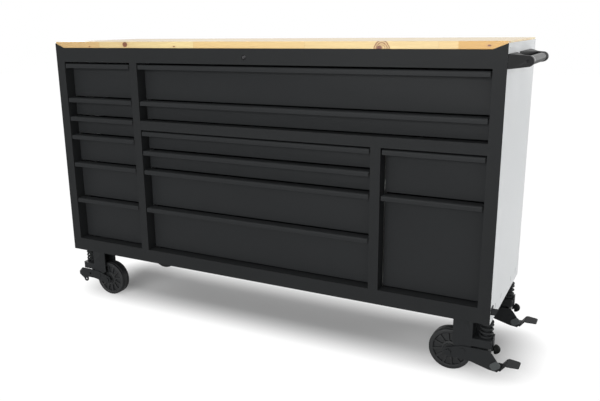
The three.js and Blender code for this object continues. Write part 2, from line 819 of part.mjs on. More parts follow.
// The outline of one arm plate, from the wheel's hub to the outboard end.
function armOutline(braked, withHinge) {
  const shape = new THREE.Shape();
  if (withHinge) {
    shape.moveTo(brakedArmHeelPlace, -brakedArmHeelDrop);
    shape.lineTo(brakedArmToePlace, -brakedArmToeDrop);
    shape.lineTo(brakedArmReach, -brakedArmTipDrop);
    shape.lineTo(brakedArmShoulderPlace, -brakedArmShoulderDrop);
    shape.lineTo(brakedArmCrestPlace, -armTopDrop);
  } else if (braked) {
    shape.moveTo(endPlatePlace, -brakedArmHeelDrop);
    shape.lineTo(endPlatePlace, -armTopDrop);
  } else {
    shape.moveTo(hookPlace - hookRadius, -plainArmDrop);
    shape.lineTo(hookPlace - hookRadius, -hookDrop);
    shape.absarc(hookPlace, -hookDrop, hookRadius, Math.PI, 2 * Math.PI, false);
    shape.lineTo(plainArmReach, -plainArmTipBottomDrop);
    shape.lineTo(plainArmReach, -plainArmTipTopDrop);
    shape.lineTo(plainArmShoulderPlace, -plainArmTopDrop);
    shape.lineTo(plainArmKneePlace, -plainArmTopDrop);
  }
  shape.lineTo(pivotOffset, -armTopDrop);
  shape.lineTo(-wheelOffset, -axleDrop + armHubRadius);
  shape.absarc(-wheelOffset, -axleDrop, armHubRadius, Math.PI / 2, (3 * Math.PI) / 2, false);
  shape.lineTo(brakedArmWaistPlace, braked ? -brakedArmWaistDrop : -plainArmDrop);
  return shape;
}

// Swing arm: two plates outside the yoke, the wheel's axle, the pivots, a cross bar and the spring rod.
function swingArm(braked) {
  const plates = [
    prismY(armOutline(braked, braked), -armOuter, -armInner, 4),
    prismY(armOutline(braked, false), armInner, armOuter, 4),
  ];
  const axle = barY(axleRadius, -wheelOffset, -axleDrop, -armOuter, armOuter);
  const heads = [-armOuter - axleHeadLength, armOuter - armSheet / 2].map((y0) => barY(
    axleHeadRadius, -wheelOffset, -axleDrop, y0, y0 + axleHeadLength + armSheet / 2, 6,
  ));
  const pinInner = yokeInnerWidth / 2 + seam;
  const pivots = [[-armOuter, -pinInner], [pinInner, armOuter]].map(([y0, y1]) => barY(
    pivotRadius, pivotOffset, -pivotDrop, y0, y1,
  ));
  const pivotHeads = [-armOuter - pivotHeadLength, armOuter - armSheet / 2].map((y0) => barY(
    pivotHeadRadius, pivotOffset, -pivotDrop, y0, y0 + pivotHeadLength + armSheet / 2, 8,
  ));
  const crossBarHalf = armInner + armSheet / 2;
  const crossBar = barY(crossBarRadius, rodOffset, -crossBarDrop, -crossBarHalf, crossBarHalf);
  const washerBottom = -footDrop + springHeight;
  const washerTop = washerBottom + washerThickness;
  const rod = barZ(rodRadius, rodOffset, 0, -crossBarDrop, washerTop + nutHeight, 8);
  const washer = barZ(washerRadius, rodOffset, 0, washerBottom, washerTop, 16);
  const nut = barZ(nutRadius, rodOffset, 0, washerTop - washerThickness / 2, washerTop + nutHeight / 2, 6);
  const pieces = [...plates, axle, ...heads, ...pivots, ...pivotHeads, crossBar, rod, washer, nut];
  if (braked) {
    const endPlateTop = -armTopDrop - endPlateGap;
    pieces.push(block(
      endPlatePlace - armSheet, endPlatePlace, -armInner - armSheet / 2, armInner + armSheet / 2,
      endPlateTop - endPlateHeight, endPlateTop,
    ));
    pieces.push(barY(
      pedalPinRadius, pedalPinPlace, -pedalPinDrop, -armInner - armSheet / 2, pedalEarFace + pedalPinHead, 8,
    ));
    pieces.push(barY(
      pedalBossRadius, pedalPinPlace, -pedalPinDrop,
      -armOuter - pedalBossThickness, -armOuter + armSheet / 2,
    ));
    return joined(pieces);
  }
  const holes = [
    [hookHoleRadius, hookPlace, hookDrop],
    [lighteningHoleRadius, lighteningHolePlace, lighteningHoleDrop],
  ].map(([radius, x, drop]) => barY(radius, x, -drop, -armOuter - overrun, armOuter + overrun, 8));
  return cut(joined(pieces), holes);
}

// The middle line of the spring: a straight end, an even helix, and a straight end.
function springLine() {
  const firstAngle = -Math.PI / 2;
  const bottom = -footDrop + seam;
  const top = -footDrop + springHeight - seam;
  const steps = springCurls * springStepsPerCurl;
  const points = [
    new THREE.Vector3(
      springLineRadius * Math.cos(firstAngle), springLineRadius * Math.sin(firstAngle), bottom,
    ),
  ];
  for (let step = 0; step <= steps; step += 1) {
    const angle = firstAngle + (step * 2 * Math.PI) / springStepsPerCurl;
    const z = bottom + springEndRise + ((top - bottom - 2 * springEndRise) * step) / steps;
    points.push(new THREE.Vector3(
      springLineRadius * Math.cos(angle), springLineRadius * Math.sin(angle), z,
    ));
  }
  const last = points[points.length - 1];
  points.push(new THREE.Vector3(last.x, last.y, top));
  return points;
}

// Least gap between two stretches of the spring that are more than half a curl apart.
function springSelfGap(points) {
  let least = Infinity;
  points.forEach((a, i) => {
    points.slice(i + springStepsPerCurl / 2 + 1).forEach((b) => {
      least = Math.min(least, a.distanceTo(b) - springWire);
    });
  });
  return least;
}

// A tube whose rings are mitred at each point of its middle line.
function mitredTube(points, radius, sides) {
  const positions = [];
  const indices = [];
  const axisOf = (i) => points[i + 1].clone().sub(points[i]).normalize();
  let across = new THREE.Vector3(0, 1, 0);
  points.forEach((point, i) => {
    const before = axisOf(Math.max(i - 1, 0));
    const after = axisOf(Math.min(i, points.length - 2));
    const normal = before.clone().add(after).normalize();
    const turn = new THREE.Quaternion().setFromUnitVectors(before, after);
    const up = before.clone().cross(across).normalize();
    for (let side = 0; side < sides; side += 1) {
      const angle = (side * 2 * Math.PI) / sides;
      const spoke = across.clone().multiplyScalar(radius * Math.cos(angle));
      spoke.add(up.clone().multiplyScalar(radius * Math.sin(angle)));
      spoke.sub(before.clone().multiplyScalar(spoke.dot(normal) / before.dot(normal)));
      positions.push(point.x + spoke.x, point.y + spoke.y, point.z + spoke.z);
    }
    across = across.applyQuaternion(turn);
  });
  for (let ring = 0; ring < points.length - 1; ring += 1) {
    for (let side = 0; side < sides; side += 1) {
      const a = ring * sides + side;
      const b = ring * sides + ((side + 1) % sides);
      indices.push(a, b, b + sides, a, b + sides, a + sides);
    }
  }
  const lastRing = (points.length - 1) * sides;
  for (let side = 1; side < sides - 1; side += 1) {
    indices.push(0, side + 1, side);
    indices.push(lastRing, lastRing + side, lastRing + side + 1);
  }
  const geometry = new THREE.BufferGeometry();
  geometry.setAttribute('position', new THREE.Float32BufferAttribute(positions, 3));
  geometry.setIndex(indices);
  geometry.computeVertexNormals();
  return geometry;
}

function spring() {
  const points = springLine();
  console.log(`least gap between the spring's curls: ${springSelfGap(points).toFixed(2)} mm`);
  return mitredTube(points, springWire / 2, springSides);
}

// The outline of a bent strip of even thickness along a line of [x, z] points.
function bentStrip(line, thickness) {
  const points = line.map(([x, z]) => new THREE.Vector2(x, z));
  const normalAt = (i) => {
    const ahead = points[Math.min(i + 1, points.length - 1)];
    const here = points[Math.min(i, points.length - 2)];
    const along = ahead.clone().sub(here).normalize();
    return new THREE.Vector2(-along.y, along.x);
  };
  const offsets = points.map((point, i) => {
    const before = normalAt(Math.max(i - 1, 0));
    const mitre = before.clone().add(normalAt(i)).normalize();
    return mitre.multiplyScalar(thickness / 2 / mitre.dot(before));
  });
  const upper = points.map((point, i) => point.clone().add(offsets[i]).toArray());
  const under = points.map((point, i) => point.clone().sub(offsets[i]).toArray());
  return [...under, ...upper.reverse()];
}

// Brake pedal: an ear on the arm's pin, and a strip that is bent down and up again to its pad.
function brakePedal() {
  const line = [
    [pedalHeelPlace, -pedalToeDrop], [pedalToeReach, -pedalToeDrop],
    [pedalNeckReach, -pedalNeckDrop], [pedalPadReach, -pedalPadDrop],
  ];
  const overall = 2 * pedalNearReach;
  const strip = prismY(shapeOf(bentStrip(line.slice(0, -1), pedalSheet)), -pedalNearReach, pedalFarReach);
  const padStrip = prismY(shapeOf(bentStrip(line.slice(-2), pedalSheet)), -overall, overall);
  const padPlan = new THREE.Shape();
  padPlan.moveTo(pedalNeckReach - pedalSheet / 2, -pedalNearReach);
  padPlan.lineTo(pedalNeckReach + pedalPadCorner, -pedalNearReach);
  const cornerCentre = pedalPadReach - pedalPadCorner;
  padPlan.absarc(cornerCentre, -pedalPadNearReach + pedalPadCorner, pedalPadCorner, -Math.PI / 2, 0, false);
  padPlan.absarc(cornerCentre, pedalPadFarReach - pedalPadCorner, pedalPadCorner, 0, Math.PI / 2, false);
  padPlan.absarc(
    pedalNeckReach + pedalPadCorner, pedalPadFarReach - pedalPadCorner, pedalPadCorner,
    Math.PI / 2, Math.PI, false,
  );
  padPlan.lineTo(pedalNeckReach - pedalSheet / 2, pedalFarReach - pedalPadCorner);
  const pad = padStrip.intersect(prismZ(padPlan, -pedalPadDrop - overall, -pedalPadDrop + overall, 3));
  const ear = new THREE.Shape();
  ear.moveTo(pedalHeelPlace, -pedalToeDrop);
  ear.lineTo(pedalToeReach, -pedalToeDrop);
  ear.lineTo(pedalPinPlace + pedalEarRadius, -pedalPinDrop);
  ear.absarc(pedalPinPlace, -pedalPinDrop, pedalEarRadius, 0, Math.PI, false);
  const earPlate = prismY(ear, -pedalNearReach, pedalEarFace, 4);
  const bore = barY(pedalPinRadius + seam, pedalPinPlace, -pedalPinDrop, -overall, overall);
  return joined([strip, pad, earPlate]).subtract(bore);
}

// Domed knob on the end of the yoke's foot.
function knob() {
  const profile = [new THREE.Vector2(0, 0), new THREE.Vector2(knobStemRadius, 0)];
  profile.push(new THREE.Vector2(knobStemRadius, knobStemLength));
  const domeSteps = 4;
  for (let step = 0; step <= domeSteps; step += 1) {
    const angle = (step * Math.PI) / 2 / domeSteps;
    profile.push(new THREE.Vector2(
      step === domeSteps ? 0 : knobRadius * Math.cos(angle),
      knobStemLength + (knobLength - knobStemLength) * Math.sin(angle),
    ));
  }
  const geometry = new THREE.LatheGeometry(profile, 12);
  geometry.rotateZ(-Math.PI / 2);
  geometry.translate(tongueFace + seam, 0, -knobDrop);
  return toSolid(geometry);
}

// The whole cart
const cart = new THREE.Group();
const body = new THREE.Group();
cart.add(body);

function addPiece(group, name, shape, material) {
  const geometry = shape.isBufferGeometry ? shape : toGeometry(shape);
  const mesh = new THREE.Mesh(geometry, material());
  mesh.name = name;
  group.add(mesh);
  return mesh;
}

addPiece(body, 'front_frame', frontFrame(), blackPaint);
addPiece(body, 'mid_rail', midRail(), blackPaint);
addPiece(body, 'left_side_panel', sidePanel(false), greyPaint);
addPiece(body, 'right_side_panel', sidePanel(true), greyPaint);
addPiece(body, 'back_panel', backPanel(), blackPaint);
addPiece(body, 'bottom_pan', bottomPan(), blackPaint);
addPiece(body, 'top_deck', topDeck(), blackPaint);
addPiece(body, 'worktop', worktop(), beechBlock);

const leftPartitionRight = leftPartitionLeft + partitionSheet;
const rightPartitionRight = rightPartitionLeft + partitionSheet;
const rightPartitionTop = lowerOpeningTop + midRailHeight / 2;
const midPostTop = rightPartitionTop - bayHeadroom;
addPiece(body, 'left_partition', partition(leftPartitionLeft, deckBottom - seam), blackPaint);
addPiece(body, 'right_partition', partition(rightPartitionLeft, rightPartitionTop), blackPaint);
const racks = {
  rack_left_side: [insideLeft, openingLeft, bayTop, leftBays],
  rack_left_partition_left: [leftPartitionLeft - seam, leftColumnRight, bayTop, leftBays],
  rack_left_partition_right: [leftPartitionRight + seam, middleLeft, bayTop, [...wideBays, ...middleBays]],
  rack_right_partition_left: [rightPartitionLeft - seam, middleRight, midPostTop, middleBays],
  rack_right_partition_right: [rightPartitionRight + seam, rightColumnLeft, midPostTop, rightBays],
  rack_right_side: [insideRight, rightColumnRight, bayTop, [...wideBays, ...rightBays]],
};
Object.entries(racks).forEach(([name, [wallX, railX, top, bays]]) => {
  addPiece(body, name, slideRack(wallX, railX, bayBottom, top, bays), zincPlate);
});

const stacks = { left: leftBays, wide: wideBays, middle: middleBays, right: rightBays };
Object.entries(stacks).forEach(([stack, bays]) => {
  bays.forEach((bay, i) => addPiece(body, `drawer_${stack}_${i + 1}`, drawer(bay), blackPaint));
});

addPiece(body, 'lock_barrel', lockBarrel(), chromePlate);
addPiece(body, 'lock_plug', lockPlug(), chromePlate);
addPiece(body, 'handle_front_arm', handleFrontArm(), blackPaint);
addPiece(body, 'handle_rear_arm', handleRearArm(), blackPaint);
addPiece(body, 'handle_bar', handleTube(), satinTube);
addPiece(body, 'side_tab', sideTab(), blackPaint);

// Casters at the corners. The left ones are turned half a turn, and only the right ones have a brake.
function addCaster(name, x, y, atRight) {
  const caster = new THREE.Group();
  caster.position.set(x, y, 0);
  caster.rotation.z = atRight ? 0 : Math.PI;
  body.add(caster);
  addPiece(caster, `${name}_top_plate`, topPlate(), zincPlate);
  addPiece(caster, `${name}_yoke`, yoke(atRight), blackPaint);
  addPiece(caster, `${name}_swing_arm`, swingArm(atRight), blackPaint);
  addPiece(caster, `${name}_spring`, spring(), blackPaint).position.x = rodOffset;
  addPiece(caster, `${name}_wheel`, wheel(), blackRubber).position.set(-wheelOffset, 0, -axleDrop);
  if (atRight) {
    addPiece(caster, `${name}_brake_pedal`, brakePedal(), blackPaint);
    addPiece(caster, `${name}_knob`, knob(), blackPlastic);
  }
}

const frontAxis = casterFrontSetback;
const rearAxis = cabinetDepth - casterRearSetback;
addCaster('caster_front_left', casterInset, frontAxis, false);
addCaster('caster_rear_left', casterInset, rearAxis, false);
addCaster('caster_front_right', cabinetWidth - casterInset, frontAxis, true);
addCaster('caster_rear_right', cabinetWidth - casterInset, rearAxis, true);

// Footprint, from the left casters' arms to the right casters' pads, and from the lock to the rear
const footprintLeft = casterInset - plainArmReach;
const footprintRight = cabinetWidth - casterInset + pedalPadReach;
const footprintFront = lockFace - lockPlugProud;
body.position.set(
  -(footprintLeft + footprintRight) / 2, -(footprintFront + cabinetDepth) / 2, rideHeight,
);

export default cart;
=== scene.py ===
import functools
import json
import math

import bmesh
import bpy
from mathutils import Euler, Matrix, Vector

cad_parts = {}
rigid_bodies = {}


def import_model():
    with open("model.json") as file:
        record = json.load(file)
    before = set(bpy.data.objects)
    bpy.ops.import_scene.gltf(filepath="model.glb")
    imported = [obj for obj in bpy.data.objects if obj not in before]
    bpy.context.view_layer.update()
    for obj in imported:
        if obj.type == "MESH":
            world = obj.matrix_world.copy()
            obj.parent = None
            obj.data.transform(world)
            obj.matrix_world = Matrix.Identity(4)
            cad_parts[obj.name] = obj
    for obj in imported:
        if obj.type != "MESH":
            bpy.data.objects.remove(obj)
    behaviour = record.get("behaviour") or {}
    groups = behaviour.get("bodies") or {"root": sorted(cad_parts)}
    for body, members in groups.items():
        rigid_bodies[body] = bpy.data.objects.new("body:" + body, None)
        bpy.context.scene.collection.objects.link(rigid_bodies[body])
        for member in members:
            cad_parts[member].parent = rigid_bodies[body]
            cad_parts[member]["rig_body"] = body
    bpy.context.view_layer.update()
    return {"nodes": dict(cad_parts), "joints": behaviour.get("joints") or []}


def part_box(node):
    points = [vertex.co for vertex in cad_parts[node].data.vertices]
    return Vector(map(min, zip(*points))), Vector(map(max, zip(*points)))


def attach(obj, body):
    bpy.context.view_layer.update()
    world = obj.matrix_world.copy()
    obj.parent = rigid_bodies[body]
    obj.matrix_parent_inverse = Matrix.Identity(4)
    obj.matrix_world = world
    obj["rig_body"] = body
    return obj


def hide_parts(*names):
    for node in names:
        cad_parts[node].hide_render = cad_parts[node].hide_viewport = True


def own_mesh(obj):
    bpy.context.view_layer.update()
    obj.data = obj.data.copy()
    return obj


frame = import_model()
scene = bpy.context.scene

# Camera
# It stands to the right of the cart's front at chest height, and looks a little down at it.
camera_place = (1.2506, -2.3606, 1.1772)
camera_turn_deg = (75.364, 0.797, 28.044)
camera_lens_mm = 40.36
camera_shift = (0.0278, 0.0011)
camera = bpy.data.objects.new("camera", bpy.data.cameras.new("camera"))
scene.collection.objects.link(camera)
scene.camera = camera
camera.location = camera_place
camera.rotation_euler = Euler([math.radians(a) for a in camera_turn_deg])
camera.data.lens = camera_lens_mm
camera.data.shift_x, camera.data.shift_y = camera_shift

# Cabinet shell
# Folded steel sheet, spot welded. The front frame and the inside are satin black powder coat, and the
# two side panels are the same coat in light grey. The front frame's copy of the black is a little darker, as
# painted shade.


class Value:
    """A node's value that Python expressions can work with."""

    def __init__(self, tree, socket):
        self.tree = tree
        self.socket = socket

    def math(self, operation, *others):
        """The result of a Math node on this value and the others, in that order."""
        node = self.tree.nodes.new("ShaderNodeMath")
        node.operation = operation
        for socket, value in zip(node.inputs, (self, *others)):
            connect(self.tree, socket, value)
        return Value(self.tree, node.outputs[0])

    def __add__(self, other):
        return self.math("ADD", other)

    def __mul__(self, other):
        return self.math("MULTIPLY", other)

    __radd__ = __add__
    __rmul__ = __mul__

    def __sub__(self, other):
        return self.math("SUBTRACT", other)

    def __rsub__(self, other):
        return self * -1.0 + other

    def __truediv__(self, other):
        return self.math("DIVIDE", other)

    def __pow__(self, other):
        return self.math("POWER", other)

    def __gt__(self, other):
        return self.math("GREATER_THAN", other)

    def __lt__(self, other):
        return self.math("LESS_THAN", other)

    def floor(self):
        return self.math("FLOOR")

    def limited(self):
        """This value, kept between 0 and 1."""
        return self.math("MAXIMUM", 0.0).math("MINIMUM", 1.0)


def connect(tree, socket, value):
    """Links a value to a socket, or sets the socket to a plain number, colour or material."""
    if isinstance(value, Value):
        tree.links.new(value.socket, socket)
    else:
        socket.default_value = value


class Graph:
    """A node tree that is built up by calls."""

    def __init__(self, tree):
        self.tree = tree

    def node(self, kind, output=0, settings=None, **sockets):
        node = self.tree.nodes.new(kind)
        for key, value in (settings or {}).items():
            setattr(node, key, value)
        for socket, value in sockets.items():
            connect(self.tree, node.inputs[socket.replace("_", " ")], value)
        return Value(self.tree, node.outputs[output])


class Finish(Graph):
    """A material that is built up from its Principled shader."""

    def __init__(self, name, **sockets):
        self.material = bpy.data.materials.new(name)
        self.material.use_nodes = True
        super().__init__(self.material.node_tree)
        self.shader = self.tree.nodes["Principled BSDF"]
        for socket, value in sockets.items():
            self.feed(socket.replace("_", " "), value)

    def feed(self, socket, value):
        connect(self.tree, self.shader.inputs[socket], value)

    def place(self, stretch=(1.0, 1.0, 1.0)):
        """The place on the object, stretched by a factor along each axis."""
        on_object = self.node("ShaderNodeTexCoord", output="Object")
        return self.node("ShaderNodeMapping", Vector=on_object, Scale=stretch)

    def position(self):
        """The place on the object as its separate X, Y and Z."""
        split = self.node("ShaderNodeSeparateXYZ", Vector=self.place())
        return [Value(self.tree, socket) for socket in split.socket.node.outputs]

    def noise(self, scale, detail=2.0, stretch=(1.0, 1.0, 1.0)):
        return self.node("ShaderNodeTexNoise", Vector=self.place(stretch), Scale=scale, Detail=detail)

    def blend(self, factor, first, second):
        """A colour between two others, each a tuple of red, green and blue or the result of a node."""
        node = self.tree.nodes.new("ShaderNodeMix")
        node.data_type = "RGBA"
        for identifier, value in (("Factor_Float", factor), ("A_Color", first), ("B_Color", second)):
            socket = next(s for s in node.inputs if s.identifier == identifier)
            connect(self.tree, socket, (*value, 1.0) if isinstance(value, tuple) else value)
        return Value(self.tree, next(s for s in node.outputs if s.identifier == "Result_Color"))

    def mottle(self, scale, darker, lighter, detail=2.0):
        """Lets the colour drift between two tones from place to place."""
        self.feed("Base Color", self.blend(self.noise(scale, detail), darker, lighter))

    def sheen(self, scale, low, high):
        """Lets the roughness drift between two values from place to place."""
        self.feed("Roughness", self.noise(scale) * (high - low) + low)

    def bump(self, height, strength, distance):
        bumped = self.node("ShaderNodeBump", Height=height, Strength=strength, Distance=distance)
        self.feed("Normal", bumped)


def powder_coat(name, colour, darker, roughness, gloss):
    """Powder coat: a faint orange-peel surface, and a slow drift in its tone and sheen."""
    sheen_swing = 0.06
    peel_scale = 420.0
    coat = Finish(name, Specular_IOR_Level=gloss)
    coat.mottle(scale=2.2, darker=darker, lighter=colour, detail=3.0)
    coat.sheen(scale=9.0, low=roughness - sheen_swing, high=roughness + sheen_swing)
    coat.bump(coat.noise(peel_scale, detail=1.0), strength=0.12, distance=0.0004)
    return coat.material


black_coat = powder_coat("satin_black_coat", (0.0222, 0.0235, 0.0246), (0.0202, 0.0214, 0.0223),
                         roughness=0.42, gloss=0.07)
# The front frame's black is a slightly darker copy of the same coat: painted shade that evens it with the
# recessed fronts.
shaded_frame_coat = powder_coat("frame_black_coat", (0.0205, 0.0216, 0.0224), (0.0187, 0.0197, 0.0204),
                         roughness=0.42, gloss=0.06)
grey_coat = powder_coat("light_grey_coat", (0.62, 0.635, 0.64), (0.59, 0.605, 0.615),
                        roughness=0.42, gloss=0.4)


def dress(piece, body, material=None, edge=0.0, segments=2, stands_for=None):
    """Eases a piece's sharp edges, and says what it rides on and stands for."""
    sharp_angle = math.radians(35)
    if material:
        piece.data.materials.clear()
        piece.data.materials.append(material)
    piece.data.shade_smooth()
    piece.data.set_sharp_from_angle(angle=sharp_angle)
    if edge:
        eased = piece.modifiers.new("eased_edges", "BEVEL")
        eased.width = edge
        eased.segments = segments
        eased.limit_method = "ANGLE"
        eased.angle_limit = sharp_angle
        eased.harden_normals = True
    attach(piece, body)
    if stands_for:
        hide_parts(stands_for)
    return piece


def copied(node):
    """A copy of a CAD piece, with its flat faces each made whole."""
    joined_within = 2e-6
    flat_within = math.radians(0.5)
    mesh = frame["nodes"][node].data.copy()
    shape = bmesh.new()
    shape.from_mesh(mesh)
    bmesh.ops.remove_doubles(shape, verts=shape.verts, dist=joined_within)
    bmesh.ops.dissolve_limit(shape, angle_limit=flat_within, verts=shape.verts, edges=shape.edges)
    for face in shape.faces:
        face.material_index = 0
    shape.to_mesh(mesh)
    shape.free()
    piece = bpy.data.objects.new(f"{node}_finished", mesh)
    scene.collection.objects.link(piece)
    return piece


def finished(node, material, edge=0.0005, segments=2):
    """A copy of a CAD piece with its sharp edges eased, which stands for it."""
    body = frame["nodes"][node]["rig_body"]
    return dress(copied(node), body, material, edge, segments, stands_for=node)


# The rail above the lower drawers is welded into the frame, and the weld is ground flush. The rail
# reaches a little into the frame for that.
weld_reach = 0.0004
front = copied("front_frame")
rail = copied("mid_rail")
rail_low, rail_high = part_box("mid_rail")
rail_middle = (rail_low + rail_high) / 2
rail_size = rail_high - rail_low
longer = 1 + 2 * weld_reach / rail_size.x
taller = 1 + 2 * weld_reach / rail_size.z
stretched = Matrix.Diagonal((longer, 1.0, taller, 1.0))
rail.data.transform(Matrix.Translation(rail_middle) @ stretched @ Matrix.Translation(-rail_middle))
weld = front.modifiers.new("weld", "BOOLEAN")
weld.operation = "UNION"
weld.solver = "EXACT"
weld.object = rail
welded = bpy.data.meshes.new_from_object(front.evaluated_get(bpy.context.evaluated_depsgraph_get()))
front.modifiers.remove(weld)
front.data = welded
bpy.data.objects.remove(rail)
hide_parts("mid_rail")
dress(front, "cabinet", shaded_frame_coat, edge=0.0005, stands_for="front_frame")
for name in ("back_panel", "bottom_pan", "top_deck", "left_partition", "right_partition"):
    finished(name, black_coat)
for name in ("left_side_panel", "right_side_panel"):
    finished(name, grey_coat)

# Shell rivets and screws
# Flat-headed blind rivets hold the back panel to its flanges all round. One screw near each end of a
# side panel's raised lip holds the worktop.


class Pattern(Graph):
    """A Geometry Nodes tree with named sizes, for what repeats or follows a path."""

    def __init__(self, name, **sizes):
        super().__init__(bpy.data.node_groups.new(name, "GeometryNodeTree"))
        sockets = self.tree.interface
        sockets.new_socket("Geometry", in_out="OUTPUT", socket_type="NodeSocketGeometry")
        self.sizes = sizes
        self.keys = {}
        for size, value in sizes.items():
            kind = "NodeSocketInt" if isinstance(value, int) else "NodeSocketFloat"
            self.keys[size] = sockets.new_socket(size, in_out="INPUT", socket_type=kind).identifier
        self.entry = self.tree.nodes.new("NodeGroupInput")
        self.exit = self.tree.nodes.new("NodeGroupOutput")

    def size(self, name):
        return Value(self.tree, self.entry.outputs[name])

    def vector(self, x=0.0, y=0.0, z=0.0):
        return self.node("ShaderNodeCombineXYZ", X=x, Y=y, Z=z)

    def domed_head(self, segments, rings):
        """A low dome of the pattern's Radius and Rise."""
        ball = self.node("GeometryNodeMeshUVSphere", Segments=segments, Rings=rings,
                         Radius=self.size("Radius"))
        flattened = self.vector(1.0, 1.0, self.size("Rise") / self.size("Radius"))
        return self.node("GeometryNodeTransform", Geometry=ball, Scale=flattened)

    def at_each(self, points, piece, **turned):
        """The piece set at each point, and turned there if a Rotation is given."""
        return self.node("GeometryNodeInstanceOnPoints", Points=points, Instance=piece, **turned)

    def close(self, geometry, material):
        """Ends the pattern with this geometry, in this material."""
        real = self.node("GeometryNodeRealizeInstances", Geometry=geometry)
        coated = self.node("GeometryNodeSetMaterial", Geometry=real, Material=material)
        connect(self.tree, self.exit.inputs["Geometry"], coated)

    def made(self, name, place, **sizes):
        """The pattern at these sizes as a plain mesh, put in its place."""
        carrier = bpy.data.objects.new(name, bpy.data.meshes.new(name))
        scene.collection.objects.link(carrier)
        grown = carrier.modifiers.new(name, "NODES")
        grown.node_group = self.tree
        for size, value in {**self.sizes, **sizes}.items():
            grown[self.keys[size]] = value
        evaluated = carrier.evaluated_get(bpy.context.evaluated_depsgraph_get())
        mesh = bpy.data.meshes.new_from_object(evaluated)
        carrier.modifiers.remove(grown)
        carrier.data = mesh
        mesh.transform(place)
        return carrier


def facing(place, outward):
    """The matrix that turns a pattern's Z to point outward, at a place."""
    return Matrix.Translation(place) @ Vector(outward).to_track_quat("Z", "Y").to_matrix().to_4x4()


def steel(name, colour, low, high, scale):
    """Plated steel, with a tone and a sheen that vary a little from place to place."""
    darker_share = 0.85
    plate = Finish(name, Metallic=1.0)
    plate.mottle(scale / 4, tuple(darker_share * level for level in colour), colour)
    plate.sheen(scale, low, high)
    return plate.material


bright_plate = steel("bright_plate", (0.5, 0.5, 0.505), low=0.08, high=0.22, scale=60.0)
dark_plate = steel("dark_plate", (0.02, 0.02, 0.021), low=0.16, high=0.3, scale=60.0)
plug_plate = steel("plug_plate", (0.075, 0.075, 0.078), low=0.2, high=0.34, scale=60.0)
dull_zinc = steel("dull_zinc", (0.42, 0.43, 0.42), low=0.3, high=0.5, scale=40.0)

rivet_frame = Pattern("rivet_frame", Width=1.8, Height=0.85, Pitch=0.12, Radius=0.0032, Rise=0.0008)
rivet_path = rivet_frame.node("GeometryNodeCurvePrimitiveQuadrilateral", Width=rivet_frame.size("Width"),
                              Height=rivet_frame.size("Height"))
rivet_points = rivet_frame.node("GeometryNodeResampleCurve", settings={"mode": "LENGTH"}, Curve=rivet_path,
                                Length=rivet_frame.size("Pitch"))
rivet_head = rivet_frame.domed_head(segments=14, rings=7)
rivet_frame.close(rivet_frame.at_each(rivet_points, rivet_head), black_coat)

rivet_inset = 0.014
rivet_sunk = 0.0003
back_low, back_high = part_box("back_panel")
back_middle = (back_low + back_high) / 2
back_rivets = rivet_frame.made(
    "back_rivets", facing((back_middle.x, back_high.y - rivet_sunk, back_middle.z), (0, 1, 0)),
    Width=back_high.x - back_low.x - 2 * rivet_inset, Height=back_high.z - back_low.z - 2 * rivet_inset,
)
dress(back_rivets, "cabinet")

panel_screws = Pattern("panel_screws", Spread=0.46, Radius=0.0036, Rise=0.0011)
screw_reach = panel_screws.size("Spread") * 0.5
screw_points = panel_screws.node("GeometryNodeMeshLine", settings={"mode": "END_POINTS"}, Count=2,
                                 Start_Location=panel_screws.vector(y=screw_reach * -1.0),
                                 Offset=panel_screws.vector(y=screw_reach))
screw_head = panel_screws.domed_head(segments=18, rings=9)
panel_screws.close(panel_screws.at_each(screw_points, screw_head), dull_zinc)

screw_inset = 0.03
screw_drop = 0.012
for name, outward in (("left_side_panel", -1.0), ("right_side_panel", 1.0)):
    panel_low, panel_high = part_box(name)
    panel_face = panel_high.x if outward > 0 else panel_low.x
    middle = Vector((panel_face, (panel_low.y + panel_high.y) / 2, panel_high.z - screw_drop))
    turn = Matrix(((0, 0, outward), (0, outward, 0), (-1, 0, 0))).to_4x4()
    screws = panel_screws.made(f"{name}_screws", Matrix.Translation(middle) @ turn,
                               Spread=panel_high.y - panel_low.y - 2 * screw_inset)
    dress(screws, "cabinet")

# Worktop
# A slab of light hardwood staves, glued side by side, with the short lengths in a stave finger-jointed
# end to end. It is sanded, eased at its edges and lacquered.
wood = Finish("lacquered_wood", Coat_Roughness=0.18, Specular_IOR_Level=0.4)
wood_x, wood_y, wood_z = wood.position()

# Each stave has a row and a place in it. A chance of its own shifts its joints, grain and tone.
stave_width = 0.043
stave_length = 0.46
finger_pitch = 0.0042
finger_depth = 0.0045
first_row_at = 3.0
first_stave_at = 5.0
joint_shift = 3.0
row_place = (wood_y + first_row_at) / stave_width
stave_row = row_place.floor()
row_chance = wood.node("ShaderNodeTexWhiteNoise", settings={"noise_dimensions": "1D"}, W=stave_row)
finger = (wood_z + 1.0).math("PINGPONG", finger_pitch / 2) * (2 * finger_depth / finger_pitch)
along = (wood_x + finger + row_chance * joint_shift + first_stave_at) / stave_length
stave_key = wood.node("ShaderNodeCombineXYZ", X=stave_row, Y=along.floor())
stave_chance = wood.node("ShaderNodeTexWhiteNoise", settings={"noise_dimensions": "2D"}, Vector=stave_key)

shell_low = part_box("front_frame")[0]
knot_depth_share = 0.7


def drawn_out(along_scale, across_scale, along_shift, across_shift=0.0):
    """Places for noise that is drawn out along the staves, and that differs from one to the next."""
    return wood.node("ShaderNodeCombineXYZ", X=wood_x * along_scale + stave_chance * along_shift,
                     Y=wood_y * across_scale + stave_chance * across_shift, Z=wood_z * across_scale)


def knot_reach(distance, height, flatness):
    """How far a place is from the middle of a knot, across the grain, along it and into the wood."""
    across = (wood_z - (shell_low.z + height)) * flatness
    lengthwise = wood_x - (shell_low.x + distance)
    inward = (wood_y - shell_low.y) * knot_depth_share
    return (across * across + lengthwise * lengthwise + inward * inward) ** 0.5


def highest(values):
    """The highest of a list of values."""
    return functools.reduce(lambda one, other: one.math("MAXIMUM", other), values)


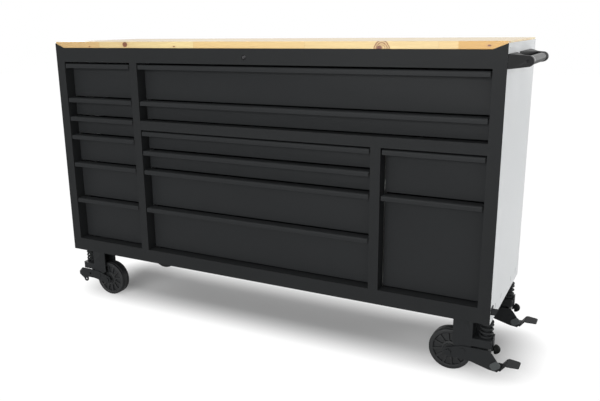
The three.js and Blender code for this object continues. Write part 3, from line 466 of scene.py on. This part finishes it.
grain_place = drawn_out(along_scale=2.4, across_scale=34.0, along_shift=31.0, across_shift=17.0)
grain = wood.node("ShaderNodeTexNoise", Vector=grain_place, Scale=2.4, Detail=6.0, Distortion=0.6)
fibre_place = drawn_out(along_scale=26.0, across_scale=900.0, along_shift=9.0)
fibre = wood.node("ShaderNodeTexNoise", Vector=fibre_place, Scale=1.0, Detail=2.0)

# Small knots on the front edge and near it, by their distance from the cabinet's left end, height above
# the cabinet's lower edge, radius along the grain, and how flat they are.
knots = ((0.373, 0.8955, 0.0105, 1.2), (0.187, 0.887, 0.004, 2.2), (0.611, 0.888, 0.004, 2.2),
         (1.428, 0.886, 0.008, 1.4), (1.774, 0.893, 0.005, 2.0))
knot_edge = 1.25
knot_slope = 2.0
halo_edge = 3.2
knot_marks = []
knot_halos = []
for distance, height, radius, flatness in knots:
    reach = knot_reach(distance, height, flatness) / radius
    knot_marks.append(((knot_edge - reach) * knot_slope).limited())
    knot_halos.append(((halo_edge - reach) / halo_edge).limited())
knot_mark = highest(knot_marks)
knot_halo = highest(knot_halos)

# One larger knot has rings.
whorl_distance = 1.436
whorl_height = 0.887
whorl_flatness = math.sqrt(1.3)
whorl_radius = 0.026
whorl_edge = 1.08
whorl_slope = 6.0
whorl_rings = 22.0
whorl_wander = 0.3
whorl_reach = knot_reach(whorl_distance, whorl_height, whorl_flatness) / whorl_radius
whorl_reach = whorl_reach + (grain - 0.5) * whorl_wander
whorl_wave = (whorl_reach * whorl_rings).math("SINE") * 0.35 + 0.5
whorl_fade = ((whorl_edge - whorl_reach) * whorl_slope).limited() * (whorl_reach * 0.7 + 0.3)
whorl_mark = (whorl_fade * whorl_wave * 1.5).limited()

# The staves run from pale to warm. A stave at the right end of the front edge is amber, and the wood
# darkens to the left. Over that lie the streaks, the fibres, the knots and the glue lines.
pale_wood = (0.79, 0.66, 0.32)
warm_wood = (0.69, 0.45, 0.17)
amber_wood = (0.61, 0.345, 0.072)
left_end_wood = (0.42, 0.29, 0.13)
streak_brown = (0.52, 0.30, 0.12)
fibre_brown = (0.40, 0.22, 0.09)
halo_brown = (0.45, 0.22, 0.08)
ring_brown = (0.26, 0.10, 0.025)
knot_brown = (0.14, 0.028, 0.008)
glue_brown = (0.30, 0.16, 0.07)
amber_start = 1.684
amber_row = 0.04
left_darkening_reach = 0.7
glue_at_end = 0.0012
glue_at_side = 0.009
amber_here = (wood_x + finger > shell_low.x + amber_start) * (wood_y < shell_low.y + amber_row)
# The tone darkens toward the cabinet's left end, over the given reach from that end.
left_darkening = ((shell_low.x + left_darkening_reach - wood_x) / left_darkening_reach).limited()
end_joint = along.math("PINGPONG", 0.5) < glue_at_end
side_joint = row_place.math("PINGPONG", 0.5) < glue_at_side
layers = (
    (stave_chance ** 1.6, warm_wood),
    (amber_here, amber_wood),
    (left_darkening * 0.62, left_end_wood),
    ((grain * 1.5 - 0.35).limited() * 0.45, streak_brown),
    ((fibre - 0.45).limited() * 0.55, fibre_brown),
    (knot_halo * 0.45, halo_brown),
    (whorl_mark, ring_brown),
    ((knot_mark * 2.0).limited() * 0.92, knot_brown),
    (highest([end_joint, side_joint]) * 0.35, glue_brown),
)
tone = pale_wood
for cover, colour in layers:
    tone = wood.blend(cover, tone, colour)
wood.feed("Base Color", tone)
wood.feed("Roughness", fibre * 0.16 + 0.34)
wood.feed("Coat Weight", 0.55)
wood.bump(fibre * 0.6 + grain * 0.4, strength=0.1, distance=0.0005)
finished("worktop", wood.material, edge=0.0012, segments=3)

# Drawers
# Each front is one folded sheet, bent forward at the top into a full-width pull, on an open tray.
drawers = sorted(n for n in frame["nodes"] if n.startswith("drawer_"))
for name in drawers:
    finished(name, black_coat, edge=0.0004)

# Slide racks
# Zinc-plated channel rails on folded posts, one rack on each side of a stack of drawers.
racks = sorted(n for n in frame["nodes"] if n.startswith("rack_"))
for name in racks:
    finished(name, dull_zinc, edge=0.0003)

# Lock
# A dark plated barrel with a domed rim, and a plug with its keyway, in the middle of the top rail.


def turned(name, outline, place, steps=64, closed=False):
    """A piece turned about Z from its outline of (radius, height) points, put in its place.

    A closed outline ends where it starts, round a bore. An open one starts and ends on the axis.
    """
    shape = bmesh.new()
    rings = []
    for radius, height in outline:
        turns = steps if radius else 1
        angles = [2 * math.pi * i / turns for i in range(turns)]
        rings.append([shape.verts.new((radius * math.cos(a), radius * math.sin(a), height)) for a in angles])
    following = rings[1:] + rings[:1] if closed else rings[1:]
    for lower, upper in zip(rings, following):
        for i in range(steps):
            corners = (lower[i % len(lower)], lower[(i + 1) % len(lower)],
                       upper[(i + 1) % len(upper)], upper[i % len(upper)])
            shape.faces.new(list(dict.fromkeys(corners)))
    bmesh.ops.recalc_face_normals(shape, faces=shape.faces)
    shape.transform(place)
    mesh = bpy.data.meshes.new(name)
    shape.to_mesh(mesh)
    shape.free()
    piece = bpy.data.objects.new(name, mesh)
    scene.collection.objects.link(piece)
    return piece


barrel_low, barrel_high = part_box("lock_barrel")
barrel_middle = (barrel_low + barrel_high) / 2
barrel_length = barrel_high.y - barrel_low.y
barrel_radius = 0.0078
plug_bore = 0.0058
rim_radius = (barrel_high.x - barrel_low.x) / 2
rim_thickness = 0.0016
rim_slope = 0.0022
rim_round = 0.0005
rim_fall = 0.0006
barrel = turned("lock_barrel_turned", (
    (plug_bore, 0.0), (rim_radius - rim_slope, 0.0), (rim_radius - rim_round, -rim_fall),
    (rim_radius, -rim_thickness), (barrel_radius, -rim_thickness), (barrel_radius, -barrel_length),
    (plug_bore, -barrel_length),
), facing((barrel_middle.x, barrel_low.y, barrel_middle.z), (0, -1, 0)), closed=True)
dress(barrel, "cabinet", dark_plate, edge=0.0002, stands_for="lock_barrel")
finished("lock_plug", plug_plate, edge=0.0003)

# Push handle
# Two moulded black arms are bolted to the right side. Between them is a round bar: a satin tube grip
# with a bright collar at its front end and a black one at its rear.
moulded_coat = powder_coat("moulded_black_coat", (0.0125, 0.0132, 0.0138), (0.0105, 0.0111, 0.0117),
                           roughness=0.4, gloss=0.09)
for name in ("handle_front_arm", "handle_rear_arm"):
    finished(name, moulded_coat, edge=0.0025, segments=3)

satin_tube = Finish("satin_tube", Metallic=1.0)
turning_marks = satin_tube.noise(60.0, stretch=(1.0, 12.0, 1.0))
satin_tube.feed("Base Color", satin_tube.blend(turning_marks, (0.062, 0.065, 0.064), (0.078, 0.081, 0.08)))
satin_tube.feed("Roughness", turning_marks * 0.15 + 0.32)

bar_low, bar_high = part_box("handle_bar")
bar_middle = (bar_low + bar_high) / 2
bar_length = bar_high.y - bar_low.y
bar_place = facing((bar_middle.x, bar_low.y, bar_middle.z), (0, 1, 0))
grip_radius = 0.014
tube_radius = 0.0125
arm_width = 0.0223
arm_overlap = 0.006
rear_bare = 0.0067
grip_start = arm_width - arm_overlap
grip_end = bar_length - arm_width - rear_bare
bar = turned("handle_bar_turned", (
    (0.0, 0.0), (tube_radius, 0.0), (tube_radius, grip_start), (grip_radius, grip_start),
    (grip_radius, grip_end), (tube_radius, grip_end), (tube_radius, bar_length), (0.0, bar_length),
), bar_place)
dress(bar, "cabinet", satin_tube.material, edge=0.0008, stands_for="handle_bar")

collar_length = 0.014
collar_sunk = 0.0005
collar_outer = (bar_high.z - bar_low.z) / 2
collar_inner = grip_radius - collar_sunk
for name, start, material, slot in (
        ("front", grip_start, bright_plate, "brushed_steel"),
        ("rear", grip_end - collar_length, moulded_coat, "black_paint")):
    collar = turned(f"handle_{name}_collar", (
        (collar_inner, start), (collar_outer, start), (collar_outer, start + collar_length),
        (collar_inner, start + collar_length),
    ), bar_place, closed=True)
    dress(collar, "cabinet", material, edge=0.0012, segments=3)

# Side tab
# A small folded bracket, low on the right side near the front.
finished("side_tab", black_coat)

# Caster plates and bolts
# Each zinc-plated top plate is held under the cabinet by four hexagon bolts with washers.
caster_names = sorted(n.removesuffix("_yoke") for n in frame["nodes"] if n.endswith("_yoke"))
bolt_group = Pattern("bolt_group", Length=0.09, Width=0.078, Head=0.0068, Height=0.0048, Washer=0.0085,
                     Sheet=0.0012)
bolt_grid = bolt_group.node("GeometryNodeMeshGrid", Size_X=bolt_group.size("Length"),
                            Size_Y=bolt_group.size("Width"), Vertices_X=2, Vertices_Y=2)
hexagon = bolt_group.node("GeometryNodeMeshCylinder", Vertices=6, Radius=bolt_group.size("Head"),
                          Depth=bolt_group.size("Height"))
crown = bolt_group.node("GeometryNodeMeshCone", Vertices=24, Radius_Top=bolt_group.size("Head") * 0.7,
                        Radius_Bottom=bolt_group.size("Head") * 0.86, Depth=bolt_group.size("Height") * 0.12)
crown_raised = bolt_group.node("GeometryNodeTransform", Geometry=crown,
                               Translation=bolt_group.vector(z=bolt_group.size("Height") * 0.5))
washer = bolt_group.node("GeometryNodeMeshCylinder", Vertices=24, Radius=bolt_group.size("Washer"),
                         Depth=bolt_group.size("Sheet"))
washer_lowered = bolt_group.node("GeometryNodeTransform", Geometry=washer,
                                 Translation=bolt_group.vector(z=bolt_group.size("Height") * -0.5))
bolt_parts = bolt_group.tree.nodes.new("GeometryNodeJoinGeometry")
for part in (hexagon, crown_raised, washer_lowered):
    connect(bolt_group.tree, bolt_parts.inputs[0], part)
bolt = Value(bolt_group.tree, bolt_parts.outputs[0])
turn_between_bolts = 0.7
bolt_turn = bolt_group.vector(z=bolt_group.node("GeometryNodeInputIndex") * turn_between_bolts)
bolt_group.close(bolt_group.at_each(bolt_grid, bolt, Rotation=bolt_turn), dull_zinc)

plate_thickness = 0.0037
bolt_drop = 0.0029
for name in caster_names:
    finished(f"{name}_top_plate", dull_zinc)
    plate_low, plate_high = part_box(f"{name}_top_plate")
    plate_middle = (plate_low + plate_high) / 2
    bolts_at = (plate_middle.x, plate_middle.y, plate_high.z - plate_thickness - bolt_drop)
    bolts = bolt_group.made(f"{name}_bolts", facing(bolts_at, (0, 0, -1)))
    dress(bolts, "cabinet")

# Caster yokes and swing arms
# Pressed steel in the same black coat. The yoke turns under the plate, and the arm hangs on its pivot
# with the wheel's axle bolt. A thin black plate stands behind the spring, on the yoke's far side, as painted
# shade seen between the coils.


def cut_plate(name, outline, thickness, place):
    """A flat plate cut to an outline of (x, y) points. Its face is at the place, and it lies behind it."""
    count = len(outline)
    mesh = bpy.data.meshes.new(name)
    sides = [(i, i + count, (i + 1) % count + count, (i + 1) % count) for i in range(count)]
    mesh.from_pydata([(x, y, -level) for level in (0.0, thickness) for x, y in outline], [],
                     [tuple(range(count)), tuple(range(2 * count - 1, count - 1, -1)), *sides])
    mesh.transform(place)
    piece = bpy.data.objects.new(name, mesh)
    scene.collection.objects.link(piece)
    return piece


def joint_place(name):
    """A point on a joint's axis, at rest."""
    return next(j for j in frame["joints"] if j["name"] == name)["pos_m"]


# A thin black plate behind each spring: painted shade that darkens the gaps between the coils.
shade_plate_start = 0.03
shade_plate_end = 0.066
shade_plate_top = 0.0085
shade_plate_bottom = 0.081
shade_plate_corner = 0.012
shade_plate_face = 0.0316
shade_plate_sheet = 0.0015
shade_plate_top_gap = 0.004
upright = Matrix(((1, 0, 0), (0, 0, -1), (0, 1, 0))).to_4x4()
for name in caster_names:
    finished(f"{name}_yoke", black_coat, edge=0.001)
    finished(f"{name}_swing_arm", black_coat, edge=0.0008)
    swivel = Vector(joint_place(f"{name}_swivel"))
    pan_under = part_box(f"{name}_top_plate")[0].z - shade_plate_top_gap
    shade_plate_outline = [
        (shade_plate_start, -shade_plate_bottom), (shade_plate_end, -shade_plate_bottom), (shade_plate_end, -shade_plate_top - shade_plate_corner),
        (shade_plate_end - shade_plate_corner, -shade_plate_top), (shade_plate_start, -shade_plate_top),
    ]
    if swivel.x < 0:
        shade_plate_outline = [(-x, y) for x, y in reversed(shade_plate_outline)]
    shade_plate_place = Matrix.Translation((swivel.x, swivel.y + shade_plate_face, pan_under)) @ upright
    shade_plate = cut_plate(f"{name}_spring_shade_plate", shade_plate_outline, shade_plate_sheet, shade_plate_place)
    dress(shade_plate, f"{name}_fork", black_coat, edge=0.0003)

# Springs
# Each is a coil of round black wire with its end turns closed, between the foot and the rod's washer.
coil = Pattern("coil", Radius=0.0203, Wire=0.0042, Height=0.0544, Turns=4.0, Closed=0.5)
coil_line = coil.node("GeometryNodeCurveSpiral", Resolution=40, Rotations=coil.size("Turns"),
                      Start_Radius=coil.size("Radius"), End_Radius=coil.size("Radius"), Height=0.0)
# The end turns lie flat, and the turns between them rise evenly.
turn_now = coil.node("GeometryNodeSplineParameter", output="Factor") * coil.size("Turns")
risen_share = (turn_now - coil.size("Closed")) / (coil.size("Turns") - coil.size("Closed") * 2.0)
level = risen_share.limited() * (coil.size("Height") - coil.size("Wire") * 2.0) + coil.size("Wire")
coil_risen = coil.node("GeometryNodeSetPosition", Geometry=coil_line, Offset=coil.vector(z=level))
wire_ring = coil.node("GeometryNodeCurvePrimitiveCircle", Resolution=14, Radius=coil.size("Wire"))
wire = coil.node("GeometryNodeCurveToMesh", Curve=coil_risen, Profile_Curve=wire_ring, Fill_Caps=True)
coil.close(wire, black_coat)
suspension_turn = math.radians(4.0)
for name in caster_names:
    spring_low, spring_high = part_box(f"{name}_spring")
    spring_middle = (spring_low + spring_high) / 2
    spring_height = spring_high.z - spring_low.z
    side = 1.0 if spring_middle.x > 0 else -1.0
    first_turn = Matrix.Rotation(math.radians(90.0 * side), 4, "Z")
    spring_place = Matrix.Translation((spring_middle.x, spring_middle.y, spring_low.z)) @ first_turn
    spring = coil.made(f"{name}_spring_wound", spring_place, Height=spring_height)
    dress(spring, f"{name}_fork", stands_for=f"{name}_spring")
    lever = abs(spring_middle.x - joint_place(f"{name}_suspension")[0])
    1.0 - lever * math.sin(suspension_turn) / spring_height
    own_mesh(spring)

# Wheels
# Moulded in one piece: a hard black tyre with two shallow grooves, on a thin web with twelve ribs.
tyre = Finish("moulded_black", Specular_IOR_Level=0.35)
tyre.mottle(scale=14.0, darker=(0.0105, 0.0115, 0.012), lighter=(0.016, 0.017, 0.018))
tyre.sheen(scale=50.0, low=0.42, high=0.58)
tyre.bump(tyre.noise(300.0, detail=1.0), strength=0.1, distance=0.0003)

rib_ring = Pattern("rib_ring", Count=12, Inner=0.027, Outer=0.0595, Thickness=0.0074, Width=0.039)
rib_span = rib_ring.size("Outer") - rib_ring.size("Inner")
rib_middle = (rib_ring.size("Outer") + rib_ring.size("Inner")) * 0.5
rib_points = rib_ring.node("GeometryNodeMeshCircle", Vertices=rib_ring.size("Count"), Radius=rib_middle)
rib_size = rib_ring.vector(rib_span, rib_ring.size("Thickness"), rib_ring.size("Width"))
rib_bar = rib_ring.node("GeometryNodeMeshCube", Vertices_X=3, Vertices_Y=2, Vertices_Z=4, Size=rib_size)
rib_angle = rib_ring.node("GeometryNodeInputIndex") * (2 * math.pi) / rib_ring.size("Count")
rib_turn = rib_ring.vector(z=rib_angle)
rib_ring.close(rib_ring.at_each(rib_points, rib_bar, Rotation=rib_turn), tyre.material)
rib_lead = math.radians(9.0)
rib_lead_turn = Matrix.Rotation(rib_lead, 4, "Z")

# Half of the wheel's outline runs from the bore's mouth over the hub, the web and the rim to the middle
# of the tread. The insets are measured inward from the tread.
hub_half = 0.025
bore_radius = 0.0065
hub_radius = 0.0225
hub_chamfer = 0.002
hub_step = 0.0035
shoulder_radius = 0.029
shoulder_step = 0.0045
shoulder_end = 0.030
shoulder_fall = 0.006
web_start = 0.031
web_start_half = 0.0145
web_end = 0.057
web_end_half = 0.014
rim_start = 0.0585
rim_start_half = 0.0195
rim_end = 0.0605
rim_end_half = 0.0215
wall_inset = 0.0042
wall_half = 0.0228
corner_inset = 0.0018
corner_half = 0.0218
tread_inset = 0.0003
outer_tread = (0.0188, 0.0142)
groove_depth = 0.003
groove_floor = (0.0134, 0.0106)
middle_tread = (0.0098, 0.001)
for name in caster_names:
    hub = Vector(joint_place(f"{name}_roll"))
    tread = hub.z
    half_outline = (
        (bore_radius, hub_half), (hub_radius - hub_chamfer, hub_half), (hub_radius, hub_half - hub_step),
        (shoulder_radius, hub_half - shoulder_step), (shoulder_end, hub_half - shoulder_fall),
        (web_start, web_start_half), (web_end, web_end_half), (rim_start, rim_start_half),
        (rim_end, rim_end_half), (tread - wall_inset, wall_half), (tread - corner_inset, corner_half),
        *((tread - tread_inset, half) for half in outer_tread),
        *((tread - groove_depth, half) for half in groove_floor),
        *((tread, half) for half in middle_tread),
    )
    mirrored = tuple((radius, -height) for radius, height in reversed(half_outline))
    wheel_place = facing(hub, (0, -1, 0)) @ rib_lead_turn
    wheel = turned(f"{name}_wheel_moulded", half_outline + mirrored, wheel_place, steps=96, closed=True)
    ribs = rib_ring.made(f"{name}_ribs", wheel_place)
    both = bmesh.new()
    both.from_mesh(wheel.data)
    both.from_mesh(ribs.data)
    both.to_mesh(wheel.data)
    both.free()
    bpy.data.objects.remove(ribs)
    dress(wheel, f"{name}_wheel", tyre.material, edge=0.0006, stands_for=f"{name}_wheel")

# Brake pedals, bosses and knobs
# The two right casters have a bent pedal on a pin behind a small zinc plate, and a moulded black knob.
boss_zinc = Finish("boss_zinc", Metallic=0.35)
boss_zinc.mottle(scale=40.0, darker=(0.056, 0.063, 0.064), lighter=(0.067, 0.074, 0.075))
boss_zinc.sheen(scale=60.0, low=0.36, high=0.51)
boss_length = 0.034
boss_width = 0.026
boss_corner = 0.006
boss_thickness = 0.003
boss_proud = 0.0004
boss_tilt = math.radians(38.0)
boss_turn = Matrix.Rotation(boss_tilt, 4, "Z")
boss_outline = []
for side_x, side_y in ((1, -1), (1, 1), (-1, 1), (-1, -1)):
    cut = [(side_x * (boss_length / 2), side_y * (boss_width / 2 - boss_corner)),
           (side_x * (boss_length / 2 - boss_corner), side_y * (boss_width / 2))]
    boss_outline += cut if side_x == side_y else cut[::-1]

knob_plastic = Finish("knob_plastic", Specular_IOR_Level=0.04)
knob_plastic.mottle(scale=30.0, darker=(0.006, 0.0065, 0.006), lighter=(0.009, 0.0095, 0.009))
knob_plastic.sheen(scale=80.0, low=0.36, high=0.48)
stem_radius = 0.008
stem_length = 0.003
knob_edge = 0.0015
dome_steps = 14
dome_turns = [0.5 * math.pi * step / dome_steps for step in range(dome_steps)]
for name in (n for n in caster_names if f"{n}_knob" in frame["nodes"]):
    finished(f"{name}_brake_pedal", black_coat, edge=0.0008)

    knob_low, knob_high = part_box(f"{name}_knob")
    knob_middle = (knob_low + knob_high) / 2
    knob_radius = (knob_high.z - knob_low.z) / 2
    knob_length = knob_high.x - knob_low.x
    dome_start = stem_length + knob_edge
    dome_rise = knob_length - dome_start
    knob_outline = (
        (0.0, 0.0), (stem_radius, 0.0), (stem_radius, stem_length), (knob_radius - knob_edge, stem_length),
        *((knob_radius * math.cos(turn), dome_start + dome_rise * math.sin(turn)) for turn in dome_turns),
        (0.0, knob_length),
    )
    knob_place = facing((knob_low.x, knob_middle.y, knob_middle.z), (1, 0, 0))
    knob = turned(f"{name}_knob_turned", knob_outline, knob_place)
    dress(knob, f"{name}_fork", knob_plastic.material, stands_for=f"{name}_knob")

    pin = Vector(joint_place(f"{name}_brake"))
    arm_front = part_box(f"{name}_swing_arm")[0].y
    boss_place = facing((pin.x, arm_front - boss_proud, pin.z), (0, -1, 0)) @ boss_turn
    boss = cut_plate(f"{name}_boss", boss_outline, boss_thickness, boss_place)
    dress(boss, f"{name}_arm", boss_zinc.material, edge=0.0004)

# Studio
# A pale floor under soft light from above, the front and both sides. Beyond the cart's footprint the
# floor fades to plain white where the camera sees it, and keeps its own tone for all other rays.
white = (1.0, 1.0, 1.0)
black = (0.0, 0.0, 0.0)
floor_reach = 14.0
floor_drop = 0.0005
floor_mesh = bpy.data.meshes.new("floor")
corner_sides = ((-1, -1), (1, -1), (1, 1), (-1, 1))
floor_corners = [(x * floor_reach, y * floor_reach, -floor_drop) for x, y in corner_sides]
floor_mesh.from_pydata(floor_corners, [], [(0, 1, 2, 3)])
floor = bpy.data.objects.new("floor", floor_mesh)
scene.collection.objects.link(floor)
shadow_length = 0.84
shadow_width = 0.07
fade_reach = 0.2
fade_power = 1.5
unseen_floor = (0.75, 0.75, 0.75)
seen_floor = (0.77, 0.77, 0.77)
pale = Finish("pale_floor", Roughness=0.9, Specular_IOR_Level=0.1)
seen = pale.node("ShaderNodeLightPath", output="Is Camera Ray")
floor_x, floor_y = pale.position()[:2]
beside = (floor_x.math("ABSOLUTE") - shadow_length).math("MAXIMUM", 0.0)
before = (floor_y.math("ABSOLUTE") - shadow_width).math("MAXIMUM", 0.0)
clear_of_cart = (beside * beside + before * before) ** 0.5
faded = (clear_of_cart / fade_reach).limited() ** fade_power * seen
pale.feed("Base Color", pale.blend(faded, pale.blend(seen, unseen_floor, seen_floor), black))
pale.feed("Emission Color", pale.blend(faded, black, white))
pale.feed("Emission Strength", 1.0)
floor_mesh.materials.append(pale.material)

soft_level = 0.38
world = bpy.data.worlds.new("studio")
scene.world = world
world.use_nodes = True
sky = Graph(world.node_tree)
background = world.node_tree.nodes["Background"]
background.inputs["Color"].default_value = (*white, 1.0)
white_rays = ("Is Camera Ray", "Is Glossy Ray", "Is Transmission Ray")
seen_white = highest([sky.node("ShaderNodeLightPath", output=ray) for ray in white_rays])
connect(world.node_tree, background.inputs["Strength"], seen_white.math("MAXIMUM", soft_level))


def soft_light(name, place, target, width, height, power):
    """A lamp with a broad face, turned to its target. Its power is in watts."""
    light = bpy.data.lights.new(name, "AREA")
    light.shape = "RECTANGLE"
    light.size = width
    light.size_y = height
    light.energy = power
    lamp = bpy.data.objects.new(name, light)
    scene.collection.objects.link(lamp)
    lamp.location = place
    lamp.rotation_euler = (Vector(target) - Vector(place)).to_track_quat("-Z", "Y").to_euler()


cart_middle = (0.0, 0.0, 0.5)
soft_light("overhead", (0.0, -0.2, 3.6), cart_middle, width=4.0, height=3.0, power=34.0)
soft_light("frontal", (0.1, -4.6, 1.8), cart_middle, width=4.0, height=1.2, power=150.0)
soft_light("left_fill", (-3.2, 0.9, 1.0), (-0.6, 0.0, 0.2), width=2.0, height=1.4, power=28.0)
soft_light("right_fill", (4.2, 1.3, 1.3), (0.6, 0.0, 0.5), width=2.6, height=2.0, power=80.0)

scene.view_settings.view_transform = "Standard"
